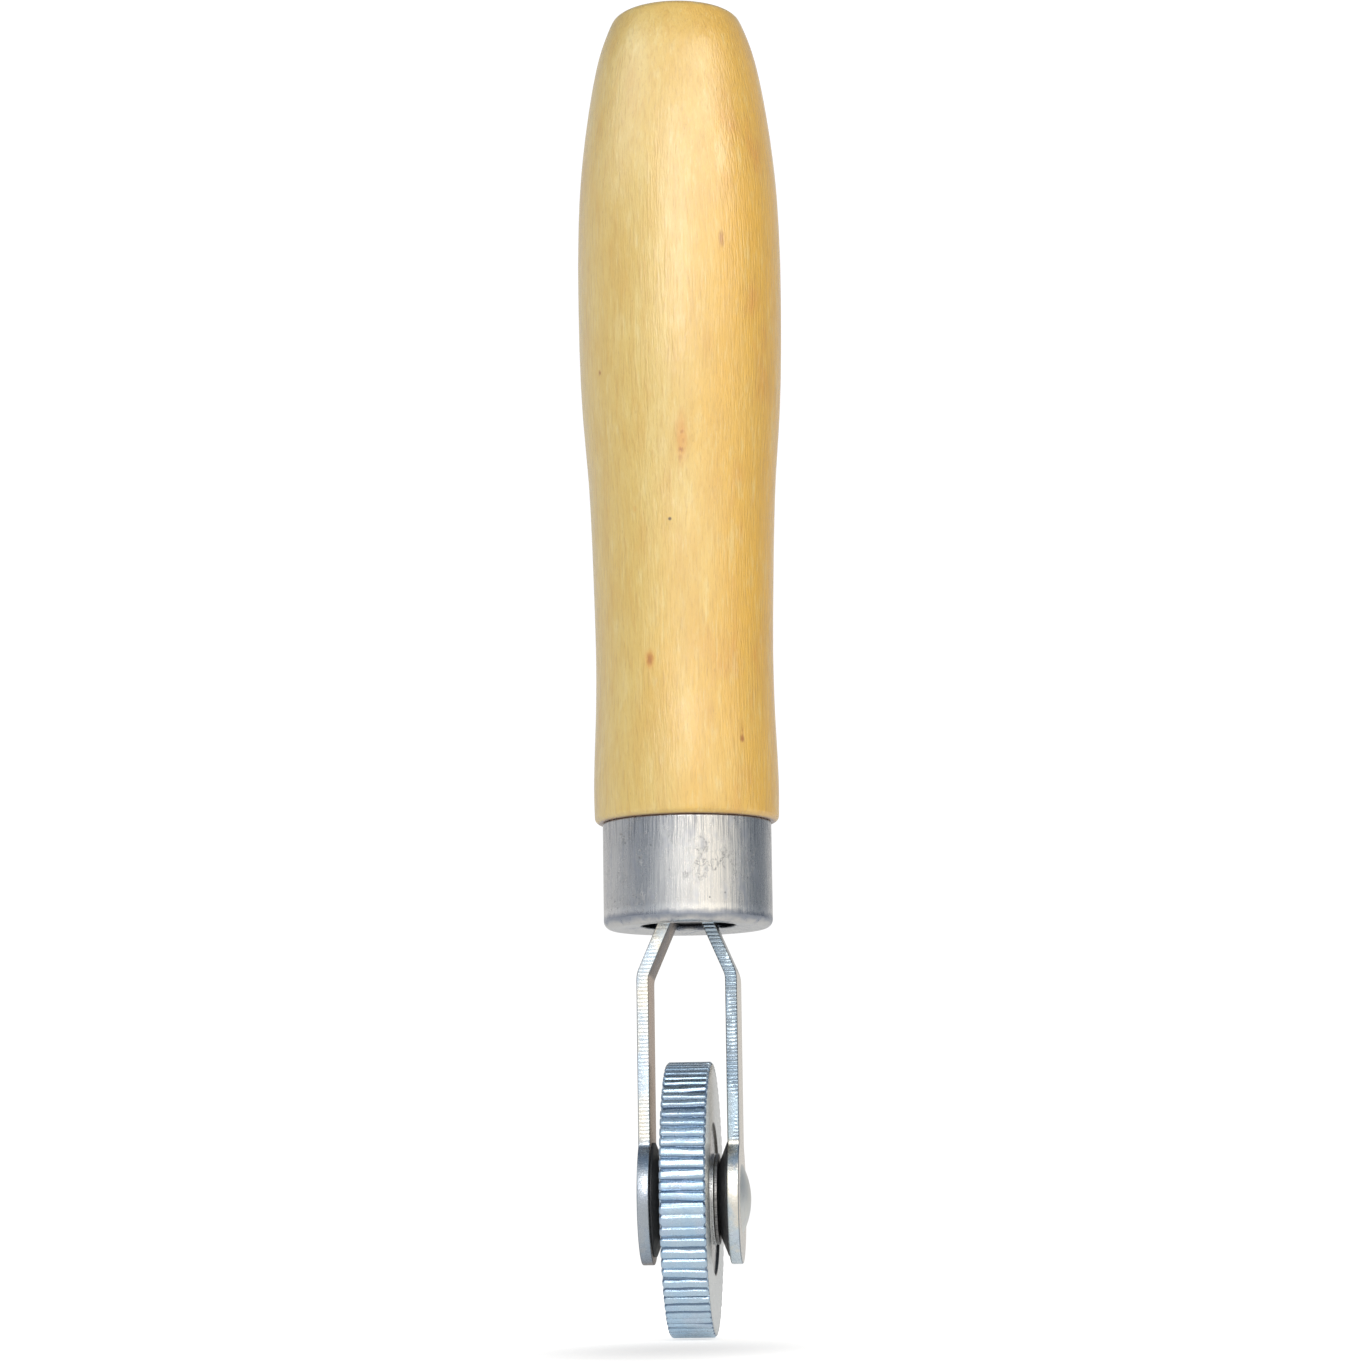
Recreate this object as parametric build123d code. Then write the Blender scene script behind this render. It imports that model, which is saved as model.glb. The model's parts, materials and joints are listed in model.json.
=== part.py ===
from build123d import *
from math import cos, radians, sin, tan
import os

os.makedirs("parts", exist_ok=True)

# Hand roller for pressing lines and texture into clay, or for rolling down a seam.
# A turned wood handle carries a fork of two bent steel arms in a drawn ferrule.
# A ridged wheel turns on a riveted axle between the two ears of the fork.
# Millimetres. +Z runs up the handle, the axle lies along X, and z = 0 is the
# lowest ridge of the wheel. The side at +X is the one with the domed rivet head.

# Whole tool
TOTAL_LENGTH = 190.0

# Wheel
WHEEL_RADIUS = 19.0  # over the ridge crests
WHEEL_WIDTH = 6.3
WHEEL_CHAMFER = 0.3
RIDGE_COUNT = 76
RIDGE_DEPTH = 0.4
RIDGE_SHARE = 0.8  # share of each pitch taken by the ridge, the rest is groove
RIM_INNER_RADIUS = 10.5
RECESS_DEPTH = 0.4
BOSS_RADIUS = 6.3
BOSS_HEIGHT = 0.2  # above the rim's face

# Axle stack, from the middle of the wheel outwards
SLEEVE_RADIUS = 3.5
RUNNING_CLEARANCE = 0.05  # wheel bore over sleeve, radial
SIDE_PLAY = 0.1  # wheel to washer, on each side
WASHER_RADIUS = 6.3
WASHER_THICKNESS = 0.4
CONE_SMALL_RADIUS = 4.9
CONE_LARGE_RADIUS = 7.9
CONE_LIP = 0.3
RIVET_RADIUS = 2.5
RIVET_CLEARANCE = 0.05  # sleeve over rivet shank, radial
RIVET_HEAD_RADIUS = 4.8
RIVET_HEAD_HEIGHT = 1.2
RIVET_TAIL_RADIUS = 3.7
RIVET_TAIL_HEIGHT = 0.6

# Fork arms, pressed from strip
ARM_THICKNESS = 1.65
ARM_WIDTH = 10.5
FORK_HALF_GAP = 5.35  # axle plane to the inner face of an ear
EAR_RADIUS = 9.0
NECK_RADIUS = 1.0
LOWER_BEND_Z = 49.9
BEND_ANGLE = 23.5
BEND_RADIUS = 2.5
TANG_WIDTH = 8.0
TANG_TOP_Z = 98.0
TANG_TIP = 2.0
SHOULDER_Z = 59.6

# Ferrule
FERRULE_BOTTOM_Z = 56.5
FERRULE_TOP_Z = 71.6
FERRULE_RADIUS = 11.9
FERRULE_WALL = 0.8
FERRULE_CORNER = 1.25
FERRULE_DISH = 0.55  # rise of the end face from its edge to the hole
FERRULE_HOLE_RADIUS = 6.7

# Handle
SPIGOT_CHAMFER = 1.3
HOLLOW_TOP_Z = 62.7
PILOT_RADIUS = 4.35
PILOT_TOP_Z = 100.0
FOOT_ROUND = 0.9
BUTT_ROUND = 2.5
HANDLE_OUTLINE = [  # radius, height
    (13.00, FERRULE_TOP_Z),
    (13.12, 78.4),
    (12.80, 86.4),
    (12.63, 95.0),
    (12.82, 103.6),
    (13.08, 112.4),
    (13.44, 121.1),
    (14.13, 129.9),
    (14.54, 138.7),
    (14.65, 147.6),
    (14.55, 156.6),
    (14.12, 165.5),
    (13.05, 174.6),
    (12.00, 180.6),
    (10.82, 185.2),
    (9.80, 187.9),
    (8.90, TOTAL_LENGTH),
]

AXLE_Z = WHEEL_RADIUS
AXLE = Axis((0, 0, AXLE_Z), (1, 0, 0))
BOSS_X = WHEEL_WIDTH / 2 + BOSS_HEIGHT
WASHER_X = BOSS_X + SIDE_PLAY
CONE_X = WASHER_X + WASHER_THICKNESS
EAR_OUTER_X = FORK_HALF_GAP + ARM_THICKNESS


def about_axle(outline):
    """Solid turned about the axle, from a closed outline of (x, radius) corners."""
    corners = [(x, AXLE_Z + radius) for x, radius in outline]
    return revolve(Plane.XZ * make_face(Polyline(*corners, close=True)), AXLE)


def make_handle():
    """Turned grip with a spigot for the ferrule and a blind hole for the tangs."""
    spigot_radius = FERRULE_RADIUS - FERRULE_WALL
    spigot_z = FERRULE_BOTTOM_Z + FERRULE_DISH + FERRULE_WALL
    grip = Spline(*HANDLE_OUTLINE)
    rest = Polyline(
        grip @ 1,
        (0, TOTAL_LENGTH),
        (0, PILOT_TOP_Z),
        (PILOT_RADIUS, PILOT_TOP_Z - PILOT_RADIUS / 2),
        (PILOT_RADIUS, HOLLOW_TOP_Z),
        (FERRULE_HOLE_RADIUS, HOLLOW_TOP_Z),
        (FERRULE_HOLE_RADIUS, spigot_z),
        (spigot_radius - SPIGOT_CHAMFER, spigot_z),
        (spigot_radius, spigot_z + SPIGOT_CHAMFER),
        (spigot_radius, FERRULE_TOP_Z),
        grip @ 0,
    )
    outline = make_face(Curve() + [grip, rest])
    foot = outline.vertices().sort_by_distance(HANDLE_OUTLINE[0])[0]
    outline = fillet(foot, FOOT_ROUND)
    butt = outline.vertices().sort_by_distance(HANDLE_OUTLINE[-1])[0]
    outline = fillet(butt, BUTT_ROUND)
    return revolve(Plane.XZ * outline, Axis.Z)


def make_ferrule():
    """Drawn cup with a rounded bottom corner, a dished end and a hole for the fork."""
    inner = FERRULE_RADIUS - FERRULE_WALL
    floor = FERRULE_BOTTOM_Z + FERRULE_WALL
    outline = make_face(
        Polyline(
            (FERRULE_HOLE_RADIUS, FERRULE_BOTTOM_Z + FERRULE_DISH),
            (FERRULE_RADIUS, FERRULE_BOTTOM_Z),
            (FERRULE_RADIUS, FERRULE_TOP_Z),
            (inner, FERRULE_TOP_Z),
            (inner, floor),
            (FERRULE_HOLE_RADIUS, floor + FERRULE_DISH),
            close=True,
        )
    )
    outer_corner = outline.vertices().sort_by_distance((FERRULE_RADIUS, FERRULE_BOTTOM_Z))[0]
    outline = fillet(outer_corner, FERRULE_CORNER)
    inner_corner = outline.vertices().sort_by_distance((inner, floor))[0]
    outline = fillet(inner_corner, FERRULE_CORNER - FERRULE_WALL)
    return revolve(Plane.XZ * outline, Axis.Z)


def arm_edge_view():
    """Strip seen edge on: upright at the ear, leaning in, upright again as a tang."""
    lean = tan(radians(BEND_ANGLE))
    corner = ARM_THICKNESS / 2 * tan(radians(BEND_ANGLE / 2))
    upper_bend_z = LOWER_BEND_Z + FORK_HALF_GAP / lean
    inner_low = (FORK_HALF_GAP, LOWER_BEND_Z - corner)
    inner_high = (0, upper_bend_z - corner)
    outer_low = (EAR_OUTER_X, LOWER_BEND_Z + corner)
    outer_high = (ARM_THICKNESS, upper_bend_z + corner)
    outline = make_face(
        Polyline(
            (FORK_HALF_GAP, 0),
            inner_low,
            inner_high,
            (0, TANG_TOP_Z),
            (ARM_THICKNESS, TANG_TOP_Z),
            outer_high,
            outer_low,
            (EAR_OUTER_X, 0),
            close=True,
        )
    )
    bends = [
        (inner_low, BEND_RADIUS),
        (outer_low, BEND_RADIUS + ARM_THICKNESS),
        (inner_high, BEND_RADIUS + ARM_THICKNESS),
        (outer_high, BEND_RADIUS),
    ]
    for point, radius in bends:
        vertex = outline.vertices().sort_by_distance(point)[0]
        outline = fillet(vertex, radius)
    return outline


def arm_front_view():
    """Strip seen face on: a round ear, the arm, and a narrower tang with a blunt tip."""
    half = ARM_WIDTH / 2
    tang = TANG_WIDTH / 2
    shoulder_top = SHOULDER_Z + half - tang
    strip = make_face(
        Polyline(
            (-half, AXLE_Z),
            (half, AXLE_Z),
            (half, SHOULDER_Z),
            (tang, shoulder_top),
            (tang, TANG_TOP_Z - TANG_TIP),
            (tang - TANG_TIP, TANG_TOP_Z),
            (TANG_TIP - tang, TANG_TOP_Z),
            (-tang, TANG_TOP_Z - TANG_TIP),
            (-tang, shoulder_top),
            (-half, SHOULDER_Z),
            close=True,
        )
    )
    outline = strip + Pos(0, AXLE_Z) * Circle(EAR_RADIUS)
    neck_z = AXLE_Z + (EAR_RADIUS**2 - half**2) ** 0.5
    for y in (-half, half):
        neck = outline.vertices().sort_by_distance((y, neck_z))[0]
        outline = fillet(neck, NECK_RADIUS)
    return outline - Pos(0, AXLE_Z) * Circle(RIVET_RADIUS)


def make_arm():
    """Fork arm on the rivet head side; the other one is its mirror image."""
    edge_view = extrude(Plane.XZ * arm_edge_view(), EAR_RADIUS + 1, both=True)
    front_view = extrude(Plane.YZ * arm_front_view(), EAR_OUTER_X + 1, both=True)
    return edge_view & front_view


def ridge_point(radius, angle):
    """Point of the wheel's outline, at an angle counted from the lowest ridge."""
    turn = radians(angle - 90)
    return (radius * cos(turn), AXLE_Z + radius * sin(turn))


def make_wheel():
    """Disc with rounded straight ridges, and on each side a boss in a shallow recess."""
    pitch = 360 / RIDGE_COUNT
    half_ridge = pitch * RIDGE_SHARE / 2
    root = WHEEL_RADIUS - RIDGE_DEPTH
    edges = []
    for i in range(RIDGE_COUNT):
        middle = i * pitch
        start = ridge_point(root, middle - half_ridge)
        crest = ridge_point(WHEEL_RADIUS, middle)
        end = ridge_point(root, middle + half_ridge)
        following = ridge_point(root, middle + pitch - half_ridge)
        edges.append(ThreePointArc(start, crest, end))
        edges.append(Line(end, following))
    ridged = extrude(Plane.YZ * make_face(Curve() + edges), BOSS_X, both=True)

    half = WHEEL_WIDTH / 2
    floor = half - RECESS_DEPTH
    bore = SLEEVE_RADIUS + RUNNING_CLEARANCE
    section = about_axle(
        [
            (-BOSS_X, bore),
            (-BOSS_X, BOSS_RADIUS),
            (-floor, BOSS_RADIUS),
            (-floor, RIM_INNER_RADIUS),
            (-half, RIM_INNER_RADIUS),
            (-half, WHEEL_RADIUS - WHEEL_CHAMFER),
            (WHEEL_CHAMFER - half, WHEEL_RADIUS),
            (half - WHEEL_CHAMFER, WHEEL_RADIUS),
            (half, WHEEL_RADIUS - WHEEL_CHAMFER),
            (half, RIM_INNER_RADIUS),
            (floor, RIM_INNER_RADIUS),
            (floor, BOSS_RADIUS),
            (BOSS_X, BOSS_RADIUS),
            (BOSS_X, bore),
        ]
    )
    return ridged & section


def make_sleeve():
    """Tube that keeps the ears apart and carries the wheel."""
    bore = RIVET_RADIUS + RIVET_CLEARANCE
    return about_axle(
        [
            (-FORK_HALF_GAP, bore),
            (-FORK_HALF_GAP, SLEEVE_RADIUS),
            (FORK_HALF_GAP, SLEEVE_RADIUS),
            (FORK_HALF_GAP, bore),
        ]
    )


def make_washer():
    """Thin thrust washer beside the wheel."""
    return about_axle(
        [
            (WASHER_X, SLEEVE_RADIUS),
            (WASHER_X, WASHER_RADIUS),
            (CONE_X, WASHER_RADIUS),
            (CONE_X, SLEEVE_RADIUS),
        ]
    )


def make_cone():
    """Conical bush between a washer and an ear, wide end against the ear."""
    return about_axle(
        [
            (CONE_X, SLEEVE_RADIUS),
            (CONE_X, CONE_SMALL_RADIUS),
            (FORK_HALF_GAP - CONE_LIP, CONE_LARGE_RADIUS),
            (FORK_HALF_GAP, CONE_LARGE_RADIUS),
            (FORK_HALF_GAP, SLEEVE_RADIUS),
        ]
    )


def cap_point(x, radius, height, way):
    """Point halfway round a spherical cap that stands on the face at x."""
    ball = (radius**2 + height**2) / (2 * height)
    middle = radius / 2
    rise = height - ball + (ball**2 - middle**2) ** 0.5
    return (x + way * rise, AXLE_Z + middle)


def make_rivet():
    """Axle rivet: plain shank, domed head at +X and a low set tail at -X."""
    head_x = EAR_OUTER_X
    head = ThreePointArc(
        (head_x, AXLE_Z + RIVET_HEAD_RADIUS),
        cap_point(head_x, RIVET_HEAD_RADIUS, RIVET_HEAD_HEIGHT, 1),
        (head_x + RIVET_HEAD_HEIGHT, AXLE_Z),
    )
    tail = ThreePointArc(
        (-head_x - RIVET_TAIL_HEIGHT, AXLE_Z),
        cap_point(-head_x, RIVET_TAIL_RADIUS, RIVET_TAIL_HEIGHT, -1),
        (-head_x, AXLE_Z + RIVET_TAIL_RADIUS),
    )
    shank = Polyline(
        tail @ 1,
        (-head_x, AXLE_Z + RIVET_RADIUS),
        (head_x, AXLE_Z + RIVET_RADIUS),
        head @ 0,
    )
    centre = Line(head @ 1, tail @ 0)
    return revolve(Plane.XZ * make_face(Curve() + [head, centre, tail, shank]), AXLE)


arm = make_arm()
washer = make_washer()
cone = make_cone()

pieces = {
    "handle": make_handle(),
    "ferrule": make_ferrule(),
    "fork_arm_left": mirror(arm, Plane.YZ),
    "fork_arm_right": arm,
    "wheel": make_wheel(),
    "spacer_sleeve": make_sleeve(),
    "thrust_washer_left": mirror(washer, Plane.YZ),
    "thrust_washer_right": washer,
    "spacer_cone_left": mirror(cone, Plane.YZ),
    "spacer_cone_right": cone,
    "axle_rivet": make_rivet(),
}

for name, shape in pieces.items():
    export_step(shape, f"parts/{name}.step")
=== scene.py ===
import json
import math

import bmesh
import bpy
import numpy as np
from mathutils import Matrix, Vector


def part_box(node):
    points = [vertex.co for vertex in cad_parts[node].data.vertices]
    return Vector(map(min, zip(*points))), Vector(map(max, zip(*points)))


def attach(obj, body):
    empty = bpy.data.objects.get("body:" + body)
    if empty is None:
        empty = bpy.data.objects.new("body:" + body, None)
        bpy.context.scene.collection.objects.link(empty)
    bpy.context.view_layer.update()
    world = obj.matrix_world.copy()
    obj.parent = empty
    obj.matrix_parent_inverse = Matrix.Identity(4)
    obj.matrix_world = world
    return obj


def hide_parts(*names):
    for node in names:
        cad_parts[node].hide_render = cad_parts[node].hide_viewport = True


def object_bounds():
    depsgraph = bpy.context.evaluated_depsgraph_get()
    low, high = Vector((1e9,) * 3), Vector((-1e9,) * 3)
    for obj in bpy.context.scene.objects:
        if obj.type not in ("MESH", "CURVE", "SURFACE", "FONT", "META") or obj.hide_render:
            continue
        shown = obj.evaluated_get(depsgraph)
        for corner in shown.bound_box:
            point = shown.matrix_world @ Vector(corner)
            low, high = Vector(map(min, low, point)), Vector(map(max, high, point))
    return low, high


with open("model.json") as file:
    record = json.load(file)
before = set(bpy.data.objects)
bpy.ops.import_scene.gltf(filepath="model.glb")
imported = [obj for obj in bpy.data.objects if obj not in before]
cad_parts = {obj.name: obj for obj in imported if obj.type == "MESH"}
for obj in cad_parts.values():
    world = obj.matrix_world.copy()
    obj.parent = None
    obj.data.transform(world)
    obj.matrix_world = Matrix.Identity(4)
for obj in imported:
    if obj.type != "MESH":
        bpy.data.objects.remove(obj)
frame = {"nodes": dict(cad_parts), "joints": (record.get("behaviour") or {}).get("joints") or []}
cad_low, cad_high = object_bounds()

MM = 0.001
TINY = 1e-7  # metres, below which two points are one
AXLE = Vector(frame["joints"][0]["pos_m"])
RIDGES = 76  # ridges round the wheel
EAR_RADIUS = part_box("fork_arm_right")[1].y  # the round ears are the arms' widest part
RECESS_RADIUS = 10.5  # millimetres, where the recess in the wheel's side face starts
CORNER_TURN = 24  # degrees, from which a bend in an outline is a corner to be rounded
CORNER_STEPS = 5
RNG = np.random.default_rng(41)


# ---------------------------------------------------------------- geometry


def frame_axes(along):
    """Centre, height direction and two radius directions of a turned part."""
    if along == "Z":
        return Vector((0, 0, 0)), Vector((0, 0, 1)), Vector((1, 0, 0)), Vector((0, 1, 0))
    return AXLE, Vector((1, 0, 0)), Vector((0, 0, 1)), Vector((0, 1, 0))


def half_section(node, along):
    """Ordered (radius, height) points of a turned CAD node, and whether they form a ring."""
    centre, up, side, _ = frame_axes(along)
    bm = bmesh.new()
    bm.from_mesh(frame["nodes"][node].data)
    bmesh.ops.remove_doubles(bm, verts=bm.verts, dist=TINY)
    geometry = bm.verts[:] + bm.edges[:] + bm.faces[:]
    bmesh.ops.bisect_plane(bm, geom=geometry, plane_co=centre, plane_no=side, clear_inner=True)
    geometry = bm.verts[:] + bm.edges[:] + bm.faces[:]
    # just off the middle plane, on which the mesh can have edges of its own
    nudge = centre + Vector((0, 2e-6, 0))
    bmesh.ops.bisect_plane(
        bm, geom=geometry, plane_co=nudge, plane_no=(0, 1, 0), clear_inner=True, clear_outer=True
    )
    ends = [v for v in bm.verts if len(v.link_edges) == 1]
    current, previous, walk = (ends or bm.verts[:])[0], None, []
    while current is not None and current not in walk:
        walk.append(current)
        ahead = [e.other_vert(current) for e in current.link_edges]
        ahead = [v for v in ahead if v is not previous and v not in walk]
        previous, current = current, (ahead[0] if ahead else None)
    points = []
    for v in walk:
        offset = v.co - centre
        height = offset.dot(up)
        points.append((max((offset - up * height).length, 0.0), height))
    bm.free()
    points = np.array(points)
    if ends:
        points[[0, -1], 0] = 0.0
    return thinned(points, not ends), not ends


def thinned(points, closed):
    """Drops points that lie on a straight run between their neighbours."""
    kept = []
    count = len(points)
    for i in range(count):
        before, here, after = points[i - 1], points[i], points[(i + 1) % count]
        if not closed and i in (0, count - 1):
            kept.append(here)
            continue
        a, b = here - before, after - here
        if np.linalg.norm(a) < TINY:
            continue
        cross = abs(a[0] * b[1] - a[1] * b[0])
        if cross > 1e-4 * np.linalg.norm(a) * np.linalg.norm(b):
            kept.append(here)
    return np.array(kept)


def corner_turns(points, closed):
    """Turn of the outline at each point, in degrees."""
    turns = []
    count = len(points)
    for i in range(count):
        if not closed and i in (0, count - 1):
            turns.append(0.0)
            continue
        a = points[i] - points[i - 1]
        b = points[(i + 1) % count] - points[i]
        angle = math.atan2(a[0] * b[1] - a[1] * b[0], a @ b)
        turns.append(abs(math.degrees(angle)))
    return np.array(turns)


def eased(points, closed, radius, step):
    """Rounds the outline's corners to a radius, and divides its other runs into steps."""
    turns = corner_turns(points, closed)
    count = len(points)
    out = []
    for i in range(count):
        here = points[i]
        if turns[i] < CORNER_TURN:
            out.append(here)
            continue
        back = points[i - 1] - here
        ahead = points[(i + 1) % count] - here
        back_length, ahead_length = np.linalg.norm(back), np.linalg.norm(ahead)
        half = math.radians(180 - turns[i]) / 2
        reach = min(radius / math.tan(half), 0.42 * back_length, 0.42 * ahead_length)
        start = here + back / back_length * reach
        end = here + ahead / ahead_length * reach
        # a point on either side of the rounding keeps the flat runs beside it flat
        out.append(start + (start - here) * min(0.6, 0.1 * back_length / reach))
        for k in range(CORNER_STEPS + 1):
            s = k / CORNER_STEPS
            out.append(start * (1 - s) ** 2 + here * 2 * s * (1 - s) + end * s**2)
        out.append(end + (end - here) * min(0.6, 0.1 * ahead_length / reach))
    runs = []
    last = len(out) if closed else len(out) - 1
    for i in range(last):
        a, b = out[i], out[(i + 1) % len(out)]
        pieces = max(1, math.ceil(np.linalg.norm(b - a) / step))
        runs.extend(a + (b - a) * k / pieces for k in range(pieces))
    if not closed:
        runs.append(out[-1])
    return np.array(runs)


def add_mesh(name, verts, faces, body, nodes, slot):
    """Mesh piece in the row frame that stands for CAD nodes and rides on their body."""
    mesh = bpy.data.meshes.new(name)
    mesh.from_pydata([tuple(v) for v in verts], [], faces)
    bm = bmesh.new()
    bm.from_mesh(mesh)
    bmesh.ops.recalc_face_normals(bm, faces=bm.faces)
    bm.to_mesh(mesh)
    bm.free()
    mesh.polygons.foreach_set("use_smooth", [True] * len(mesh.polygons))
    mesh.set_sharp_from_angle(angle=math.radians(50))
    piece = bpy.data.objects.new(name, mesh)
    bpy.context.scene.collection.objects.link(piece)
    return mounted(piece, body, nodes, slot)


def mounted(piece, body, nodes, slot):
    """Puts a piece on its body in the place of CAD nodes, with its slot's material."""
    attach(piece, body)
    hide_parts(*nodes)
    piece.data.materials.clear()
    piece.data.materials.append(bpy.data.materials[slot + "_look"])
    return piece


def turned(name, outline, closed, along, segments, body, nodes, slot, reshape=None):
    """Turns an outline of (radius, height) points into a closed mesh.

    A reshape function may move the grid of radius, height and turn before it is meshed.
    """
    centre, up, side, across = (np.array(v) for v in frame_axes(along))
    angles = np.arange(segments) * 2 * math.pi / segments
    radius = np.repeat(outline[:, :1], segments, axis=1)
    height = np.repeat(outline[:, 1:], segments, axis=1)
    turn = np.repeat(angles[None, :], len(outline), axis=0)
    if reshape:
        radius, height = reshape(radius, height, turn)
    spread = np.cos(turn)[..., None] * side + np.sin(turn)[..., None] * across
    grid = centre + spread * radius[..., None] + height[..., None] * up
    verts, rings = [], []
    for i in range(len(outline)):
        if outline[i, 0] < TINY:
            rings.append([len(verts)])
            verts.append(grid[i].mean(axis=0))
        else:
            rings.append(list(range(len(verts), len(verts) + segments)))
            verts.extend(grid[i])
    faces = []
    last = len(rings) if closed else len(rings) - 1
    for i in range(last):
        a, b = rings[i], rings[(i + 1) % len(rings)]
        for k in range(segments):
            n = (k + 1) % segments
            if len(a) == 1:
                faces.append((a[0], b[k], b[n]))
            elif len(b) == 1:
                faces.append((a[k], b[0], a[n]))
            else:
                faces.append((a[k], b[k], b[n], a[n]))
    return add_mesh(name, verts, faces, body, nodes, slot)


# --------------------------------------------------------------- materials


class Look:
    """Small helper that builds one material's node tree."""

    def __init__(self, slot):
        material = bpy.data.materials.new(slot + "_look")
        material.use_nodes = True
        self.tree = material.node_tree
        self.shader = self.tree.nodes["Principled BSDF"]
        where = self.tree.nodes.new("ShaderNodeTexCoord")
        self.normal = where.outputs["Normal"]
        self.mm = self.vector("SCALE", where.outputs["Object"], scale=1000.0)

    def link(self, socket, value):
        """Links an output to the socket or sets a number on it. None leaves it alone."""
        if isinstance(value, bpy.types.NodeSocket):
            self.tree.links.new(value, socket)
        elif value is not None:
            socket.default_value = value

    def math(self, operation, a, b=None, c=None):
        node = self.tree.nodes.new("ShaderNodeMath")
        node.operation = operation
        for socket, value in zip(node.inputs, (a, b, c)):
            self.link(socket, value)
        return node.outputs[0]

    def times(self, first, *others):
        for other in others:
            first = self.math("MULTIPLY", first, other)
        return first

    def vector(self, operation, a, b=None, scale=None):
        node = self.tree.nodes.new("ShaderNodeVectorMath")
        node.operation = operation
        self.link(node.inputs[0], a)
        self.link(node.inputs[1], b)
        if scale is not None:
            node.inputs["Scale"].default_value = scale
        return node.outputs["Value" if operation == "LENGTH" else "Vector"]

    def parts(self, vector):
        node = self.tree.nodes.new("ShaderNodeSeparateXYZ")
        self.link(node.inputs[0], vector)
        return node.outputs

    def noise(self, place, stretch=(1, 1, 1), detail=3.0, rough=0.5, colour=False, line=None):
        """Noise whose features are about 1 / stretch millimetres along each axis.

        With a line, the noise runs along that value alone.
        """
        node = self.tree.nodes.new("ShaderNodeTexNoise")
        if line is not None:
            node.noise_dimensions = "1D"
            self.link(node.inputs["W"], line)
        else:
            self.link(node.inputs["Vector"], self.vector("MULTIPLY", place, stretch))
        node.inputs["Scale"].default_value = 1.0
        node.inputs["Detail"].default_value = detail
        node.inputs["Roughness"].default_value = rough
        return node.outputs["Color" if colour else 0]

    def dots(self, place, stretch):
        """Distance to the nearest of scattered points, about 1 / stretch millimetres apart."""
        node = self.tree.nodes.new("ShaderNodeTexVoronoi")
        self.link(node.inputs["Vector"], self.vector("MULTIPLY", place, stretch))
        node.inputs["Scale"].default_value = 1.0
        return node.outputs["Distance"]

    def remap(self, value, low, high, to_low=0.0, to_high=1.0):
        """Smooth step from one level at low to another at high. High may lie under low."""
        node = self.tree.nodes.new("ShaderNodeMapRange")
        node.interpolation_type = "SMOOTHSTEP"
        for socket, setting in zip(node.inputs, (value, low, high, to_low, to_high)):
            self.link(socket, setting)
        return node.outputs[0]

    def band(self, value, start, full, fading, end):
        """Level that rises to 1 between start and full, and falls again from fading to end."""
        return self.times(self.remap(value, start, full), self.remap(value, end, fading))

    def mix(self, amount, a, b):
        node = self.tree.nodes.new("ShaderNodeMix")
        node.data_type = "RGBA"
        self.link(node.inputs[0], amount)
        self.link(node.inputs[6], a)
        self.link(node.inputs[7], b)
        return node.outputs[2]

    def bump(self, height, depth_mm, under=None):
        node = self.tree.nodes.new("ShaderNodeBump")
        node.inputs["Distance"].default_value = depth_mm * MM
        self.link(node.inputs["Height"], height)
        self.link(node.inputs["Normal"], under)
        return node.outputs[0]

    def finish(self, **settings):
        """Sets the shader's sockets, named with _ for each space."""
        for name, value in settings.items():
            self.link(self.shader.inputs[name.replace("_", " ")], value)


def rgb(red, green, blue):
    """Linear colour from the usual 0 to 255 values."""

    def linear(v):
        v /= 255
        return v / 12.92 if v <= 0.04045 else ((v + 0.055) / 1.055) ** 2.4

    return (linear(red), linear(green), linear(blue), 1.0)


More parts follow.
